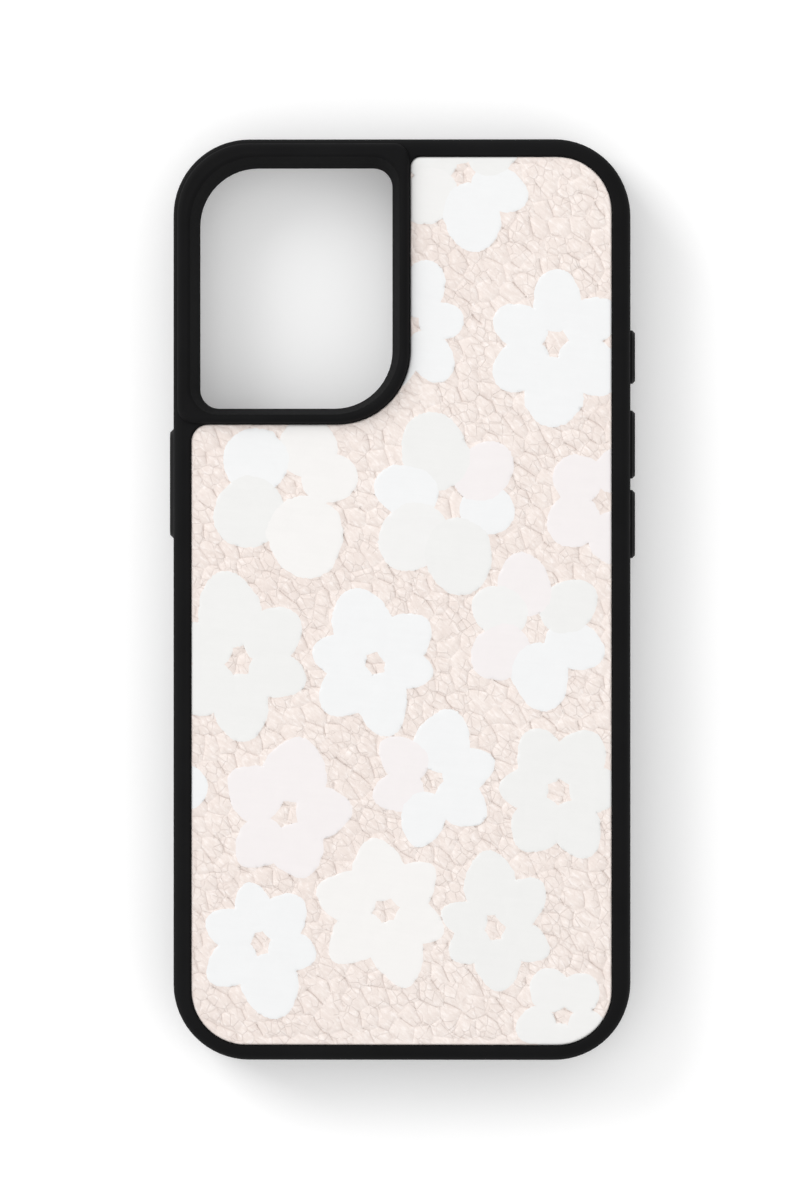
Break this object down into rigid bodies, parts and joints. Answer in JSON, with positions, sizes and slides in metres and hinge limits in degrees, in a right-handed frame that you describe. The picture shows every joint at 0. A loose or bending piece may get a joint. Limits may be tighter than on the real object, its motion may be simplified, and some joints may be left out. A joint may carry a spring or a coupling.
{
  "type": "phone case",
  "caption": "Phone case: soft bumper frame with a raised camera opening, rigid back plate, pebbled leather inlay with a floral print, microfibre lining and sliding button caps.",
  "frame": {"origin": "middle of the plane of the front rim, which the case lies on with its screen side down; also the centre of the bounding box's underside", "axes": "+X to the right as seen from the back, +Y towards the camera end, +Z out of the leather back"},
  "size_m": [0.0764, 0.1508, 0.013],
  "materials": {
    "bumper_elastomer": "satin black thermoplastic polyurethane",
    "plate_polycarbonate": "fine matt black polycarbonate",
    "pebbled_leather": "blush pink pebbled grain with white and pale grey printed flowers",
    "adhesive_film": "double-sided film, translucent",
    "microfibre": "short dark grey nap",
    "button_plastic": "satin black"
  },
  "bodies": {
    "case": {"bumper_frame": "bumper_elastomer", "back_plate": "plate_polycarbonate", "leather_panel": "pebbled_leather", "leather_adhesive": "adhesive_film", "inner_lining": "microfibre", "lining_adhesive": "adhesive_film"},
    "side_button": {"side_button": "button_plastic"},
    "action_button": {"action_button": "button_plastic"},
    "volume_up_button": {"volume_up_button": "button_plastic"},
    "volume_down_button": {"volume_down_button": "button_plastic"}
  },
  "joints": [
    {"name": "side_button_press", "type": "slide", "parent": "case", "child": "side_button", "axis": [1, 0, 0], "range_m": [0, 0.0004], "stiffness_N_per_m": 4000},
    {"name": "action_button_press", "type": "slide", "parent": "case", "child": "action_button", "axis": [-1, 0, 0], "range_m": [0, 0.0004], "stiffness_N_per_m": 4000},
    {"name": "volume_up_button_press", "type": "slide", "parent": "case", "child": "volume_up_button", "axis": [-1, 0, 0], "range_m": [0, 0.0004], "stiffness_N_per_m": 4000},
    {"name": "volume_down_button_press", "type": "slide", "parent": "case", "child": "volume_down_button", "axis": [-1, 0, 0], "range_m": [0, 0.0004], "stiffness_N_per_m": 4000}
  ]
}
